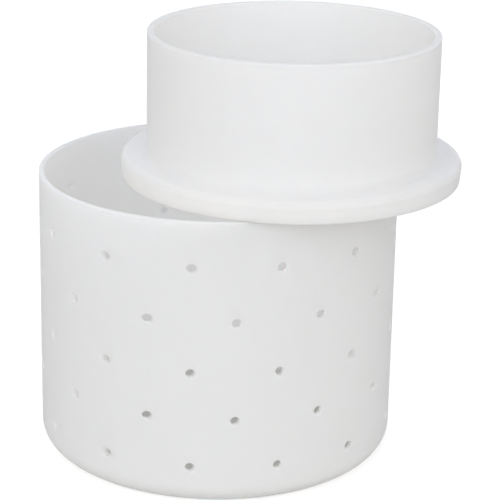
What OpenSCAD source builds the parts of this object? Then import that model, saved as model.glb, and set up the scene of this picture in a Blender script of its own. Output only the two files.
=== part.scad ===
// Cheese mold: a straight-sided draining cup, and the loose follower that presses the curd in it.
// The cup stands on the ground plane with its axis on Z. The follower lies on the cup's rim,
// moved sideways, as it is put down when the cup is being filled.

/* [Cup] */
// Outer diameter
rim_d = 165; // [150:1:180]
// Height over all
cup_h = 132.5; // [124:0.5:150]
// Thickness of the wall
wall_t = 2.5; // [2:0.1:4]
// Thickness of the cup's floor
floor_t = 3; // [2:0.1:5]
// Outer radius of the corner between the wall and the floor
corner_r = 11; // [6:0.5:14]
// Radius on both edges of the rim
rim_edge_r = 0.8; // [0.3:0.1:0.9]

/* [Drain holes] */
// Diameter of each drain hole
hole_d = 4.1; // [2:0.1:5]
// Holes in each row of the wall
row_holes = 13; // [8:1:16]
// Height of the lowest row above the ground
first_row_z = 19; // [16:0.5:24]
// Steps from each row to the next one up
row_steps = [22.5, 22, 23.5, 24.5]; // [18:0.5:25]
// Turn of the top row's first hole from the front
hole_turn = -8; // [-13:0.1:13]
// Turn of the front slide from the front: each quarter's holes are all parallel to its slide
slide_turn = 17; // [-45:0.5:45]
// Distance between the rings of holes in the floor
floor_ring_step = 20; // [15:0.5:21]
// Rings of holes in the floor
floor_rings = 3; // [1:1:3]

/* [Follower] */
// Diameter of the flange at its widest, below its rounded top edge
flange_d = 154.8; // [146:0.2:155]
// Flare of the flange's side in degrees, from the pressing face up
flange_flare = 5.5; // [0:0.5:8]
// Thickness of the flange
flange_t = 10; // [6:0.5:14]
// Radius on the flange's top edge
flange_edge_r = 3.2; // [1:0.1:5]
// Outer diameter of the collar
collar_d = 131.6; // [110:0.2:135]
// Height of the follower over all
follower_h = 66.2; // [40:0.2:90]
// Thickness of the collar's wall
collar_t = 3; // [2:0.1:5]
// Radius on both edges of the collar's rim
collar_edge_r = 0.9; // [0.3:0.1:0.95]
// Radius inside the collar, between its wall and the plate
well_r = 4; // [2:0.5:8]

/* [Follower's place on the rim] */
// How far the follower lies to the right of the cup's axis
follower_x = 32.8; // [20:0.1:45]
// How far the follower lies to the front of the cup's axis
follower_y = 7.2; // [-20:0.1:20]
// Gap left between the rim and the pressing face
seat_gap = 0.1; // [0.05:0.05:0.5]

/* [Hidden] */
$fn = 96;
rim_r = rim_d / 2;
flange_r = flange_d / 2;
collar_r = collar_d / 2;
quarter = 90;
hole_pitch = 360 / row_holes;
front = -90;
seam_turn = hole_turn + hole_pitch / 4;
rows = len(row_steps) + 1;
drill_l = 14;
over = 1;

// Sum of the first n steps between the rows
function rise(n) = n == 0 ? 0 : rise(n - 1) + row_steps[n - 1];

// Direction of the slide that makes the hole at a given turn
function slide_at(turn) = slide_turn + quarter * round((turn - slide_turn) / quarter);

// A band between two radii whose two top corners are round
module round_topped_band(inner_r, outer_r, low, high, edge_r) {
    translate([inner_r, low]) square([outer_r - inner_r, high - edge_r - low]);
    translate([inner_r + edge_r, low]) square([outer_r - inner_r - 2 * edge_r, high - low]);
    translate([inner_r + edge_r, high - edge_r]) circle(edge_r);
    translate([outer_r - edge_r, high - edge_r]) circle(edge_r);
}

// Half section of a filled cup: flat below, a round corner and a straight side
module cup_section(side_r, low, high, round_r) {
    translate([0, low]) square([side_r - round_r, round_r]);
    translate([side_r - round_r, low + round_r]) circle(round_r);
    translate([0, low + round_r]) square([side_r, high - low - round_r]);
}

// Half section of the cup
module mold_section() {
    rim_base_z = cup_h - 2 * rim_edge_r;
    difference() {
        cup_section(rim_r, 0, rim_base_z, corner_r);
        cup_section(rim_r - wall_t, floor_t, rim_base_z + over, corner_r - wall_t);
    }
    round_topped_band(rim_r - wall_t, rim_r, rim_base_z, cup_h, rim_edge_r);
}

// One drill through the wall, along its own slide
module wall_drill(turn, z) {
    mid_r = rim_r - wall_t / 2;
    rotate([0, 0, front + turn]) translate([mid_r, 0, z])
        rotate([0, 90, slide_at(turn) - turn]) cylinder(h = drill_l, d = hole_d, center = true);
}

// The wall's drills: every second row is moved on by half a pitch
module wall_drills() {
    for (row = [0 : rows - 1], k = [0 : row_holes - 1]) {
        turn = hole_turn + (k + (row % 2) / 2) * hole_pitch;
        wall_drill(turn, first_row_z + rise(row));
    }
}

// The floor's drills: rings of six, twelve and eighteen
module floor_drills() {
    for (ring = [1 : floor_rings], k = [0 : 6 * ring - 1])
        rotate([0, 0, k * 60 / ring])
            translate([ring * floor_ring_step, 0, -over]) cylinder(h = floor_t + 2 * over, d = hole_d);
}

// The draining cup
module mold() {
    color([0.92, 0.92, 0.91])
        difference() {
            rotate([0, 0, front + seam_turn]) rotate_extrude() mold_section();
            wall_drills();
            floor_drills();
        }
}

// Half section of the flange's plate: its side flares up to a rounded top edge
module plate_section() {
    edge_x = flange_r - flange_edge_r;
    edge_z = flange_t - flange_edge_r;
    side_r = edge_x + flange_edge_r * cos(flange_flare);
    side_z = edge_z - flange_edge_r * sin(flange_flare);
    face_r = side_r - side_z * tan(flange_flare);
    square([edge_x, flange_t]);
    polygon([[0, 0], [face_r, 0], [side_r, side_z], [0, side_z]]);
    translate([edge_x, edge_z]) circle(flange_edge_r);
}

// Half section of the follower: a solid plate, and an open collar on it
module follower_section() {
    collar_in_r = collar_r - collar_t;
    plate_section();
    difference() {
        translate([0, flange_t]) square([collar_r, well_r]);
        cup_section(collar_in_r, flange_t, flange_t + 2 * well_r, well_r);
    }
    round_topped_band(collar_in_r, collar_r, flange_t + well_r, follower_h, collar_edge_r);
}

// The press plate with its collar
module follower() {
    color([0.95, 0.95, 0.94])
        translate([follower_x, -follower_y, cup_h + seat_gap]) rotate_extrude() follower_section();
}

mold();
follower();
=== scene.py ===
"""Looks of a cheese mold: a draining cup and its loose follower, both moulded in natural white plastic.

Lengths are in metres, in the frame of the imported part: +Z is up, the cup stands at the origin, and the
front is -Y. Angles round an axis start at the front and grow towards +X.
"""
import math
from collections import namedtuple

import bmesh
import bpy
from mathutils import Matrix, Vector


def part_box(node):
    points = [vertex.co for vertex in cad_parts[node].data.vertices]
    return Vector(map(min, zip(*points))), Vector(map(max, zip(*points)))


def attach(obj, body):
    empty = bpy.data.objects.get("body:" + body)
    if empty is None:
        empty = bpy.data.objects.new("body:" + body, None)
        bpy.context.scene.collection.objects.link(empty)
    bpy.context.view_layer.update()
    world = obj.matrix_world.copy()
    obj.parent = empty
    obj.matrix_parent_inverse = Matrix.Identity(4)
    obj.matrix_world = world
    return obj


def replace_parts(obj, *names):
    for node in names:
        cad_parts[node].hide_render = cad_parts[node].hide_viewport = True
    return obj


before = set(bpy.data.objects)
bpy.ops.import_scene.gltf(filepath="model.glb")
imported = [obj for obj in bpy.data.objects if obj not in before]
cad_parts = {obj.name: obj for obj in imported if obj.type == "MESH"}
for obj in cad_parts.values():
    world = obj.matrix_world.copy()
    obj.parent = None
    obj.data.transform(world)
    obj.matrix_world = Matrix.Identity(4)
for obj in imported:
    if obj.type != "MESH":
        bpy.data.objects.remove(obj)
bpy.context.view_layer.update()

MM = 0.001

# The cup, from its CAD box and its own few sizes
cup_low, cup_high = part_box("mold")
RIM_R = round(cup_high.x, 4)
CUP_H = cup_high.z
WALL_T = 2.5 * MM
FLOOR_T = 3 * MM
CORNER_R = 11 * MM
RIM_EDGE_R = 0.8 * MM

# The drain holes
HOLE_R = 2.05 * MM
HOLE_INNER_R = 1.7 * MM
HOLE_LIP_R = 0.25 * MM
ROW_HOLES = 13
ROW_LEVELS = [19 * MM, 41.5 * MM, 63.5 * MM, 87 * MM, 111.5 * MM]
HOLE_TURN = math.radians(-8)
SLIDE_TURN = math.radians(17)
FLOOR_RING_STEP = 20 * MM
FLOOR_RINGS = 3
FIRST_RING_HOLES = 6

# The follower, from its CAD box and its own few sizes
press_low, press_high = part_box("follower")
PRESS_X = round((press_low.x + press_high.x) / 2, 4)
PRESS_Y = round((press_low.y + press_high.y) / 2, 4)
PRESS_AT = Vector((PRESS_X, PRESS_Y, press_low.z))
FLANGE_R = round((press_high.x - press_low.x) / 2, 4)
PRESS_H = press_high.z - press_low.z
FLANGE_T = 10 * MM
FLANGE_EDGE_R = 3.2 * MM
FLANGE_FLARE = math.radians(5.5)
COLLAR_R = 65.8 * MM
COLLAR_T = 3 * MM
COLLAR_EDGE_R = 0.9 * MM
FACE_EDGE_R = 0.4 * MM
ROOT_R = 4 * MM
WELL_R = 4 * MM

# How much darker the rims and the flange's rounded edge are painted (painted shade), and how much whiter the
# shaded corners are painted (painted light)
RIM_PAINTED_SHADE = -0.17
FLANGE_EDGE_PAINTED_SHADE = -0.06
CORNER_PAINTED_LIGHT = 0.05

# The grain of the plastic, in features a metre
TINT_SCALE = 25
GLOSS_SCALE = 300
PITTED_SCALE = 1400
DRAWN_SCALE = 500
DRAWN_OUT = 14
GRAIN_DEPTH = 0.05 * MM

# The floor: the one that is seen, and the one that throws light back
FLOOR_REACH = 6.0
SEEN_BRIGHTNESS = 0.6
DIM_BRIGHTNESS = 0.5
DIM_DROP = 0.5 * MM

# The studio light: how sharply a glow is focused, and the tints of its parts
BROAD = 2
NARROW = 8
NEUTRAL = (1, 1, 1)
WARM = (1.06, 1, 0.87)
COOL = (0.93, 1, 1.17)
Glow = namedtuple("Glow", "name turn rise focus brightness tint")

# How finely the meshes are divided
PATCH_CELLS = 4
CELLS_PER_PITCH = 32
CUP_COLUMNS = ROW_HOLES * CELLS_PER_PITCH
PRESS_COLUMNS = 400
CELL = 1.25 * MM
WALL_STEP = 4.5 * MM
COLLAR_STEP = 2 * MM
TURN_PER_CELL = 2 * math.pi / CUP_COLUMNS
LOOP = 8 * PATCH_CELLS
WELD = 1e-6

# The loops round a hole: shares of the way from its square to its lip, then degrees round the lip
MOUTH_SHARES = (0.36, 0.7, 0.9)
LIP_LEANS = (0, 30, 60, 90)


class Shape:
    """Points and faces of one moulding. Every loop runs the same way round."""

    def __init__(self):
        self.points = []
        self.faces = []

    def loop(self, points):
        """Adds the points and returns their numbers."""
        first = len(self.points)
        self.points.extend(points)
        return list(range(first, len(self.points)))

    def band(self, one, two):
        """Closes the gap between two loops with quads."""
        count = len(one)
        for i in range(count):
            k = (i + 1) % count
            self.faces.append((one[i], one[k], two[k], two[i]))

    def lathe(self, profile, columns):
        """Turns a profile of (radius, height) into bands."""
        turns = [2 * math.pi * i / columns for i in range(columns)]
        loops = [self.loop([around(turn, r, z) for turn in turns]) for r, z in profile]
        for one, two in zip(loops, loops[1:]):
            self.band(one, two)
        return loops

    def cap(self, loop, middle, outward):
        """Closes a loop with a fan of triangles to a middle point."""
        centre = self.loop([middle])[0]
        for i in range(len(loop)):
            k = (i + 1) % len(loop)
            self.faces.append((loop[k], loop[i], centre) if outward else (loop[i], loop[k], centre))


def around(angle, radius, z):
    """The point at an angle from the front, on a circle about the Z axis."""
    return Vector((radius * math.sin(angle), -radius * math.cos(angle), z))


def arc(centre_r, centre_z, radius, start, end, steps):
    """Points (radius, height) on an arc. Angles are in degrees from the outward direction, up."""
    turns = [math.radians(start + (end - start) * i / steps) for i in range(steps + 1)]
    return [(centre_r + radius * math.cos(a), centre_z + radius * math.sin(a)) for a in turns]


def spread(start, end, longest):
    """Even steps from start to end, none longer than the longest, with both ends."""
    steps = max(1, math.ceil(abs(end - start) / longest - 1e-6))
    return [start + (end - start) * i / steps for i in range(steps + 1)]


def square_steps():
    """The cell offsets (column, level) round a hole's square, from its right side up and round."""
    n = PATCH_CELLS
    right = [(n, i) for i in range(0, n)]
    top = [(i, n) for i in range(n, -n, -1)]
    left = [(-n, i) for i in range(n, -n, -1)]
    low = [(i, -n) for i in range(-n, n)]
    return right + top + left + low + [(n, i) for i in range(-n, 0)]


STEPS = square_steps()
LOOP_ANGLES = [math.atan2(level, column) for column, level in STEPS]


def wall_levels(low, high):
    """Heights of the wall's rows of points: fine rows beside the holes, and even ones between them."""
    levels = []
    start = low
    for z in ROW_LEVELS:
        levels += spread(start, z - PATCH_CELLS * CELL, WALL_STEP)[:-1]
        levels += [z + CELL * i for i in range(-PATCH_CELLS, PATCH_CELLS)]
        start = z + PATCH_CELLS * CELL
    return levels + spread(start, high, WALL_STEP)


def wall_holes():
    """(column, height, turn, slide) of every hole in the wall.

    The slide is the direction that the hole was moulded along. There is one to each quarter of the wall.
    """
    holes = []
    quarter = math.pi / 2
    for row, z in enumerate(ROW_LEVELS):
        for k in range(ROW_HOLES):
            column = k * CELLS_PER_PITCH + (row % 2) * CELLS_PER_PITCH // 2
            turn = HOLE_TURN + column * TURN_PER_CELL
            slide = SLIDE_TURN + quarter * math.floor((turn - SLIDE_TURN) / quarter + 0.5)
            holes.append((column, z, turn, slide))
    return holes


def wall_skin(shape, radius, levels, holes, outward):
    """One face of the wall, with a square left open round each hole. Returns the squares' loops."""
    turns = [HOLE_TURN + c * TURN_PER_CELL for c in range(CUP_COLUMNS)]
    grid = [shape.loop([around(turn, radius, z) for turn in turns]) for z in levels]
    row_of = {z: min(range(len(levels)), key=lambda i: abs(levels[i] - z)) for z in ROW_LEVELS}
    span = range(-PATCH_CELLS, PATCH_CELLS)
    opened = {
        (row_of[z] + i, (column + j) % CUP_COLUMNS)
        for column, z, _, _ in holes
        for i in span
        for j in span
    }
    for i in range(len(levels) - 1):
        for c in range(CUP_COLUMNS):
            if (i, c) in opened:
                continue
            k = (c + 1) % CUP_COLUMNS
            quad = (grid[i][c], grid[i][k], grid[i + 1][k], grid[i + 1][c])
            shape.faces.append(quad if outward else quad[::-1])
    return [
        [grid[row_of[z] + level][(column + step) % CUP_COLUMNS] for step, level in STEPS]
        for column, z, _, _ in holes
    ]


def bore_loop(turn, slide, z, hole_r, wall_r):
    """Loop where a round bore along a slide's direction meets a round wall, as (turn, height) pairs."""
    along = Vector((math.sin(slide), -math.cos(slide)))
    across = Vector((math.cos(slide), math.sin(slide)))
    middle = (RIM_R - WALL_T / 2) * Vector((math.sin(turn), -math.cos(turn)))
    pairs = []
    for angle in LOOP_ANGLES:
        start = middle + hole_r * math.cos(angle) * across
        half = start.dot(along)
        reach = -half + math.sqrt(half * half - start.length_squared + wall_r * wall_r)
        at = start + reach * along
        pairs.append((math.atan2(at.x, -at.y), z + hole_r * math.sin(angle)))
    return pairs


def nearest_turn(angle, reference):
    """The angle, by whole turns, that is nearest the reference."""
    return angle + 2 * math.pi * round((reference - angle) / (2 * math.pi))


def mouth_loops(shape, square, radius, hole, mouth_r, inward):
    """Loops from a hole's square to the inner edge of its rounded lip, on one face of the wall."""
    _, z, turn, slide = hole
    rim = bore_loop(turn, slide, z, mouth_r + HOLE_LIP_R, radius)
    edge = [(turn + step * TURN_PER_CELL, z + level * CELL) for step, level in STEPS]
    loops = [square]
    for share in MOUTH_SHARES:
        points = []
        for (edge_turn, edge_z), (rim_turn, rim_z) in zip(edge, rim):
            rim_turn = nearest_turn(rim_turn, edge_turn)
            mixed_turn = edge_turn + (rim_turn - edge_turn) * share
            points.append(around(mixed_turn, radius, edge_z + (rim_z - edge_z) * share))
        loops.append(shape.loop(points))
    for degrees in LIP_LEANS:
        lean = math.radians(degrees)
        hole_r = mouth_r + HOLE_LIP_R * (1 - math.sin(lean))
        depth_r = radius + inward * HOLE_LIP_R * (1 - math.cos(lean))
        pairs = bore_loop(turn, slide, z, hole_r, depth_r)
        loops.append(shape.loop([around(a, depth_r, h) for a, h in pairs]))
    return loops


def wall_bore(shape, outer_square, inner_square, hole):
    """One drain hole through the wall, with both lips. It narrows inward, as its moulding pin does."""
    outer = mouth_loops(shape, outer_square, RIM_R, hole, HOLE_R, -1)
    inner = mouth_loops(shape, inner_square, RIM_R - WALL_T, hole, HOLE_INNER_R, 1)
    middle = shape.loop([(shape.points[a] + shape.points[b]) / 2 for a, b in zip(outer[-1], inner[-1])])
    loops = outer + [middle] + inner[::-1]
    for one, two in zip(loops, loops[1:]):
        shape.band(one, two)


def floor_bore(shape, x, y):
    """One drain hole through the floor, with both lips. Its loops run backwards seen from above."""
    low = arc(HOLE_R + HOLE_LIP_R, HOLE_LIP_R, HOLE_LIP_R, -90, -180, 3)
    high = arc(HOLE_R + HOLE_LIP_R, FLOOR_T - HOLE_LIP_R, HOLE_LIP_R, 180, 90, 3)
    angles = [2 * math.pi * i / LOOP for i in range(LOOP)]
    loops = []
    for radius, z in low + high:
        points = [Vector((x + radius * math.cos(a), y - radius * math.sin(a), z)) for a in angles]
        loops.append(shape.loop(points))
    for one, two in zip(loops, loops[1:]):
        shape.band(one, two)


def floor_holes(shape):
    """Rings of drain holes round the middle of the floor, each ring with six more than the one inside it."""
    for ring in range(1, FLOOR_RINGS + 1):
        count = FIRST_RING_HOLES * ring
        radius = ring * FLOOR_RING_STEP
        for k in range(count):
            turn = math.radians(360 * k / count)
            floor_bore(shape, radius * math.cos(turn), radius * math.sin(turn))


def gate_scar(shape):
    """The mark of the injection gate: a shallow dish with a trimmed nub, in the middle of the base."""
    nub = [(0.95, 0.08), (1.2, 0.15), (1.35, 0.34), (1.6, 0.4)]
    dish = [(3.8, 0.4), (4.1, 0.3), (4.4, 0.06), (4.6, 0)]
    loops = shape.lathe([(r * MM, z * MM) for r, z in nub + dish], LOOP)
    shape.cap(loops[0], Vector((0, 0, 0.1 * MM)), True)


def mesh_object(name, shape, painted_shading_rings, flat_levels=()):
    """Joins a shape's points, closes its flat faces round their holes, and returns it as an object.

    Each ring of painted shading is (radius, height, reach, amount): a negative amount paints shade, a
    positive one paints light.
    """
    mesh = bpy.data.meshes.new(name)
    mesh.from_pydata(shape.points, [], shape.faces)
    work = bmesh.new()
    work.from_mesh(mesh)
    bmesh.ops.remove_doubles(work, verts=work.verts, dist=WELD)
    for z in flat_levels:
        open_edges = [e for e in work.edges if e.is_boundary and abs(e.verts[0].co.z - z) < WELD]
        bmesh.ops.triangle_fill(work, use_beauty=True, edges=open_edges)
    bmesh.ops.recalc_face_normals(work, faces=work.faces)
    for face in work.faces:
        face.smooth = True
    work.to_mesh(mesh)
    work.free()
    # Painted shade and painted light: a factor on the colour at each point, lower on the rims and the
    # flange's edge, higher in shaded corners.
    painted_shading = mesh.attributes.new("painted_shading", "FLOAT", "POINT")
    for point, value in zip(mesh.vertices, painted_shading.data):
        radius = math.hypot(point.co.x, point.co.y)
        value.value = 1
        for ring_r, ring_z, reach, amount in painted_shading_rings:
            away = ((radius - ring_r) ** 2 + (point.co.z - ring_z) ** 2) / reach**2
            value.value += amount * math.exp(-away)
    made = bpy.data.objects.new(name, mesh)
    bpy.context.scene.collection.objects.link(made)
    return made


def cup():
    """The draining cup, as one closed skin."""
    corner_at = RIM_R - CORNER_R
    inner_corner_r = CORNER_R - WALL_T
    inner_r = RIM_R - WALL_T
    rim_z = CUP_H - RIM_EDGE_R
    outer_rim = arc(RIM_R - RIM_EDGE_R, rim_z, RIM_EDGE_R, 0, 90, 5)
    inner_rim = arc(inner_r + RIM_EDGE_R, rim_z, RIM_EDGE_R, 90, 180, 5)
    shape = Shape()
    shape.lathe(arc(corner_at, CORNER_R, CORNER_R, -90, 0, 12), CUP_COLUMNS)
    shape.lathe(outer_rim + inner_rim, CUP_COLUMNS)
    shape.lathe(arc(corner_at, FLOOR_T + inner_corner_r, inner_corner_r, 0, -90, 12), CUP_COLUMNS)
    spin = Matrix.Rotation(HOLE_TURN, 3, "Z")
    shape.points = [spin @ point for point in shape.points]
    holes = wall_holes()
    outer = wall_skin(shape, RIM_R, wall_levels(CORNER_R, rim_z), holes, True)
    inner = wall_skin(shape, inner_r, wall_levels(FLOOR_T + inner_corner_r, rim_z), holes, False)
    for hole, outer_square, inner_square in zip(holes, outer, inner):
        wall_bore(shape, outer_square, inner_square, hole)
    floor_holes(shape)
    gate_scar(shape)
    # Painted shade: the cup's rim is painted darker.
    painted_shading_rings = [(RIM_R - WALL_T / 2, CUP_H, 1.6 * MM, RIM_PAINTED_SHADE)]
    return mesh_object("mold_cup", shape, painted_shading_rings, (0, FLOOR_T))


def follower_profile():
    """Half section of the follower from the middle of its pressing face, outward and over, to the plate."""
    edge_r = FLANGE_R - FLANGE_EDGE_R
    edge_z = FLANGE_T - FLANGE_EDGE_R
    side_r = edge_r + FLANGE_EDGE_R * math.cos(FLANGE_FLARE)
    side_z = edge_z - FLANGE_EDGE_R * math.sin(FLANGE_FLARE)
    face_r = side_r - side_z * math.tan(FLANGE_FLARE)
    well_at = COLLAR_R - COLLAR_T
    rim_z = PRESS_H - COLLAR_EDGE_R
    flare = math.degrees(FLANGE_FLARE)
    profile = [(r * MM, 0) for r in (4, 12, 24, 40, 56, 68)]
    profile += arc(face_r - FACE_EDGE_R, FACE_EDGE_R, FACE_EDGE_R, -90, 0, 4)
    profile += [(face_r + (side_r - face_r) * s, side_z * s) for s in (0.3, 0.65)]
    profile += arc(edge_r, edge_z, FLANGE_EDGE_R, -flare, 90, 12)
    profile += [(edge_r - 1 * MM, FLANGE_T)]
    profile += arc(COLLAR_R + ROOT_R, FLANGE_T + ROOT_R, ROOT_R, -90, -180, 8)
    profile += [(COLLAR_R, z) for z in spread(FLANGE_T + ROOT_R, rim_z, COLLAR_STEP)[1:-1]]
    profile += arc(COLLAR_R - COLLAR_EDGE_R, rim_z, COLLAR_EDGE_R, 0, 90, 6)
    profile += arc(well_at + COLLAR_EDGE_R, rim_z, COLLAR_EDGE_R, 90, 180, 6)
    profile += [(well_at, z) for z in spread(rim_z, FLANGE_T + WELL_R, COLLAR_STEP)[1:-1]]
    profile += arc(well_at - WELL_R, FLANGE_T + WELL_R, WELL_R, 0, -90, 10)
    return profile + [(r * MM, FLANGE_T) for r in (46, 30, 16, 6)]


def follower():
    """The press plate with its collar, as one closed skin."""
    shape = Shape()
    loops = shape.lathe(follower_profile(), PRESS_COLUMNS)
    shape.cap(loops[0], Vector((0, 0, 0)), True)
    shape.cap(loops[-1], Vector((0, 0, FLANGE_T)), False)
    painted_shading_rings = [
        # Painted shade on the collar's rim and on the flange's rounded edge; painted light in the corner at
        # the collar's root and on the flange's lower edge.
        (COLLAR_R - COLLAR_T / 2, PRESS_H, 1.8 * MM, RIM_PAINTED_SHADE),
        # Painted shade: the flange's rounded edge is painted darker.
        (FLANGE_R - 0.8 * MM, FLANGE_T - 1.2 * MM, 2.2 * MM, FLANGE_EDGE_PAINTED_SHADE),
        # Painted light: the corner at the collar's root and the flange's lower edge are painted whiter.
        (COLLAR_R + 4.5 * MM, FLANGE_T, 4.5 * MM, CORNER_PAINTED_LIGHT),
        (FLANGE_R, 2.5 * MM, 4 * MM, CORNER_PAINTED_LIGHT),
    ]
    made = mesh_object("follower_plate", shape, painted_shading_rings)
    made.data.transform(Matrix.Translation(PRESS_AT))
    return made


def noise(tree, scale, detail, rough=0.5, drawn_out=1):
    """A noise texture on the piece itself, stretched along its height."""
    place = tree.nodes.new("ShaderNodeTexCoord")
    squeeze = tree.nodes.new("ShaderNodeVectorMath")
    squeeze.operation = "MULTIPLY"
    squeeze.inputs[1].default_value = (1, 1, 1 / drawn_out)
    tree.links.new(place.outputs["Object"], squeeze.inputs[0])
    node = tree.nodes.new("ShaderNodeTexNoise")
    node.inputs["Scale"].default_value = scale
    node.inputs["Detail"].default_value = detail
    node.inputs["Roughness"].default_value = rough
    tree.links.new(squeeze.outputs["Vector"], node.inputs["Vector"])
    return node.outputs["Fac"]


def remap(tree, value, low, high):
    """Stretches the middle of a noise over the range from low to high."""
    node = tree.nodes.new("ShaderNodeMapRange")
    node.inputs["From Min"].default_value = 0.3
    node.inputs["From Max"].default_value = 0.7
    node.inputs["To Min"].default_value = low
    node.inputs["To Max"].default_value = high
    tree.links.new(value, node.inputs["Value"])
    return node.outputs["Result"]


def tint_with_painted_shading(tree, colour):
    """The plastic's colour, slightly uneven, scaled by the painted shade and painted light that the mesh's
    points carry.
    """
    tint = tree.nodes.new("ShaderNodeMix")
    tint.data_type = "RGBA"
    tint.inputs["A"].default_value = (*[c * 0.98 for c in colour], 1)
    tint.inputs["B"].default_value = (*colour, 1)
    tree.links.new(remap(tree, noise(tree, TINT_SCALE, 7, 0.62), 0, 1), tint.inputs["Factor"])
    # The painted shade and painted light stored on the mesh's points scale the colour.
    painted_shading = tree.nodes.new("ShaderNodeAttribute")
    painted_shading.attribute_name = "painted_shading"
    shaded_tint = tree.nodes.new("ShaderNodeVectorMath")
    shaded_tint.operation = "SCALE"
    tree.links.new(tint.outputs["Result"], shaded_tint.inputs[0])
    tree.links.new(painted_shading.outputs["Fac"], shaded_tint.inputs["Scale"])
    return shaded_tint.outputs["Vector"]


def moulded_grain(tree):
    """Fine pits, with faint marks drawn out along the height, the way that the moulding left its tool."""
    pits = noise(tree, PITTED_SCALE, 3)
    marks = remap(tree, noise(tree, DRAWN_SCALE, 2, 0.5, DRAWN_OUT), 0, 0.5)
    height = tree.nodes.new("ShaderNodeMath")
    height.operation = "ADD"
    tree.links.new(pits, height.inputs[0])
    tree.links.new(marks, height.inputs[1])
    bump = tree.nodes.new("ShaderNodeBump")
    bump.inputs["Strength"].default_value = 0.35
    bump.inputs["Distance"].default_value = GRAIN_DEPTH
    tree.links.new(height.outputs["Value"], bump.inputs["Height"])
    return bump.outputs["Normal"]


def natural_plastic(name, colour, depth):
    """Natural white polyethylene: satin, and milky to the depth that light travels in it."""
    material = bpy.data.materials.new(name)
    material.use_nodes = True
    tree = material.node_tree
    shader = tree.nodes["Principled BSDF"]
    tree.links.new(tint_with_painted_shading(tree, colour), shader.inputs["Base Color"])
    tree.links.new(remap(tree, noise(tree, GLOSS_SCALE, 4), 0.36, 0.5), shader.inputs["Roughness"])
    tree.links.new(moulded_grain(tree), shader.inputs["Normal"])
    shader.inputs["IOR"].default_value = 1.5
    shader.inputs["Specular IOR Level"].default_value = 0.2
    shader.inputs["Subsurface Weight"].default_value = 1
    shader.inputs["Subsurface Radius"].default_value = (1, 0.95, 0.88)
    shader.inputs["Subsurface Scale"].default_value = depth
    return material


def studio_plane(name, height, brightness):
    """A plain matt floor that reaches past the view on every side."""
    mesh = bpy.data.meshes.new(name)
    sides = [(-1, -1), (1, -1), (1, 1), (-1, 1)]
    corners = [(x * FLOOR_REACH, y * FLOOR_REACH, height) for x, y in sides]
    mesh.from_pydata(corners, [], [(0, 1, 2, 3)])
    made = bpy.data.objects.new(name, mesh)
    bpy.context.scene.collection.objects.link(made)
    material = bpy.data.materials.new(name)
    material.use_nodes = True
    shader = material.node_tree.nodes["Principled BSDF"]
    shader.inputs["Base Color"].default_value = (brightness, brightness, brightness, 1)
    shader.inputs["Roughness"].default_value = 1
    shader.inputs["Specular IOR Level"].default_value = 0
    mesh.materials.append(material)
    return made


def only(name, *pieces):
    """A collection of pieces that a lamp lights, or that throw its shadow."""
    made = bpy.data.collections.new(name)
    for piece in pieces:
        made.objects.link(piece)
    return made


def sun_lamp(name, turn, rise, energy, spread_angle, receivers):
    """A far lamp that lights only the given pieces."""
    sun = bpy.data.lights.new(name, "SUN")
    sun.energy = energy
    sun.angle = math.radians(spread_angle)
    lamp = bpy.data.objects.new(name, sun)
    lamp.rotation_euler = toward(turn, rise).to_track_quat("Z", "Y").to_euler()
    lamp.light_linking.receiver_collection = only(name + "_lights", *receivers)
    bpy.context.scene.collection.objects.link(lamp)
    return lamp


def studio_floor(cup_piece):
    """A floor for the camera, which a lamp of its own makes white, and a floor to light the object.

    The second one is hidden from the camera, just below the first. Only the cup shadows the first.
    """
    seen = studio_plane("floor_seen", 0, SEEN_BRIGHTNESS)
    seen.visible_diffuse = False
    seen.visible_glossy = False
    seen.visible_transmission = False
    seen.visible_shadow = False
    dim = studio_plane("floor_dim", -DIM_DROP, DIM_BRIGHTNESS)
    dim.visible_camera = False
    lamp = sun_lamp("floor_light", turn=4, rise=18.5, energy=9.6, spread_angle=3, receivers=[seen])
    lamp.light_linking.blocker_collection = only("floor_light_shadows", cup_piece)


def fill_light(name, turn, rise, brightness, tint, pieces):
    """A wide, shadowless fill on the pieces, for the light that the milky plastic carries through itself."""
    lamp = sun_lamp(name, turn, rise, energy=brightness, spread_angle=60, receivers=pieces)
    lamp.data.color = tint
    lamp.data.use_shadow = False


def toward(turn, rise):
    """The direction to a place in the studio, from degrees round from the front and degrees up."""
    turn, rise = math.radians(turn), math.radians(rise)
    return Vector((math.sin(turn) * math.cos(rise), -math.cos(turn) * math.cos(rise), math.sin(rise)))


def studio_world(glows):
    """The soft glows that light the object from every side."""
    world = bpy.data.worlds.new("studio")
    world.use_nodes = True
    bpy.context.scene.world = world
    nodes = world.node_tree.nodes
    links = world.node_tree.links
    place = nodes.new("ShaderNodeTexCoord")
    total = nodes.new("ShaderNodeCombineXYZ").outputs["Vector"]
    for light in glows:
        facing = nodes.new("ShaderNodeVectorMath")
        facing.operation = "DOT_PRODUCT"
        facing.inputs[1].default_value = toward(light.turn, light.rise)
        links.new(place.outputs["Generated"], facing.inputs[0])
        front_only = nodes.new("ShaderNodeMath")
        front_only.operation = "MAXIMUM"
        front_only.inputs[1].default_value = 0
        links.new(facing.outputs["Value"], front_only.inputs[0])
        lobe = nodes.new("ShaderNodeMath")
        lobe.operation = "POWER"
        lobe.inputs[1].default_value = light.focus
        links.new(front_only.outputs["Value"], lobe.inputs[0])
        glow = nodes.new("ShaderNodeVectorMath")
        glow.label = light.name
        glow.operation = "MULTIPLY_ADD"
        glow.inputs[1].default_value = [light.brightness * share for share in light.tint]
        links.new(lobe.outputs["Value"], glow.inputs[0])
        links.new(total, glow.inputs[2])
        total = glow.outputs["Vector"]
    links.new(total, nodes["Background"].inputs["Color"])


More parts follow.
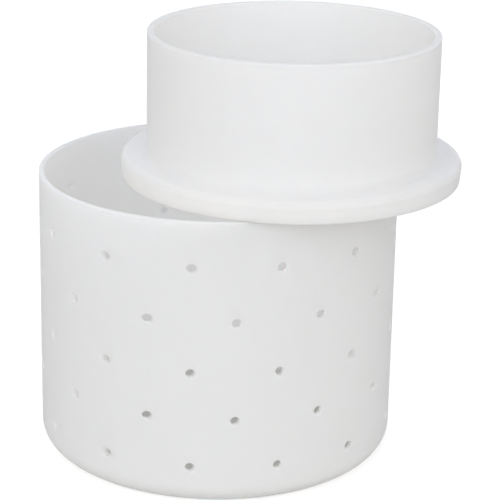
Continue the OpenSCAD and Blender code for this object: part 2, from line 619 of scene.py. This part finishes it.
def camera():
    """A long lens in front of the cup, looking down on it, turned a little to its right."""
    back = 0.8634
    height = 0.3883
    pitch, yaw, roll = (math.radians(a) for a in (18.913, 0.996, 1.137))
    forward = Vector((math.sin(yaw) * math.cos(pitch), math.cos(yaw) * math.cos(pitch), -math.sin(pitch)))
    right = Vector((math.cos(yaw), -math.sin(yaw), 0))
    up = right.cross(forward)
    across = math.cos(roll) * right + math.sin(roll) * up
    upward = -math.sin(roll) * right + math.cos(roll) * up
    data = bpy.data.cameras.new("camera")
    data.lens = 140.75
    made = bpy.data.objects.new("camera", data)
    turned = Matrix((across, upward, -forward)).transposed().to_4x4()
    made.matrix_world = Matrix.Translation((0, -back, height)) @ turned
    bpy.context.scene.collection.objects.link(made)
    bpy.context.scene.camera = made


cup_piece = cup()
cup_piece.data.materials.append(natural_plastic("cup_plastic", (0.988, 0.987, 0.985), 16 * MM))
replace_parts(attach(cup_piece, "cup"), "mold")

follower_piece = follower()
follower_piece.data.materials.append(natural_plastic("follower_plastic", (0.79, 0.79, 0.79), 9 * MM))
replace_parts(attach(follower_piece, "press_plate"), "follower")

studio_floor(cup_piece)
studio_world(
    [
        Glow("front wall", turn=0, rise=0, focus=BROAD, brightness=0.4, tint=NEUTRAL),
        Glow("left wall", turn=-90, rise=0, focus=BROAD, brightness=0.15, tint=NEUTRAL),
        Glow("right wall", turn=90, rise=0, focus=BROAD, brightness=0.45, tint=WARM),
        Glow("back wall", turn=180, rise=0, focus=BROAD, brightness=1.1, tint=COOL),
        Glow("ceiling", turn=0, rise=90, focus=BROAD, brightness=0.4, tint=NEUTRAL),
        Glow("left soft box", turn=-45, rise=20, focus=NARROW, brightness=1.8, tint=NEUTRAL),
        Glow("right soft box", turn=45, rise=20, focus=NARROW, brightness=1.6, tint=NEUTRAL),
        Glow("high soft box", turn=0, rise=50, focus=NARROW, brightness=0.7, tint=COOL),
        Glow("side soft box", turn=-90, rise=40, focus=NARROW, brightness=0.6, tint=WARM),
    ]
)
fill_light("low_fill", turn=0, rise=-30, brightness=0.45, tint=WARM, pieces=[cup_piece, follower_piece])
camera()
bpy.context.scene.view_settings.view_transform = "Standard"
bpy.context.scene.cycles.diffuse_bounces = 12
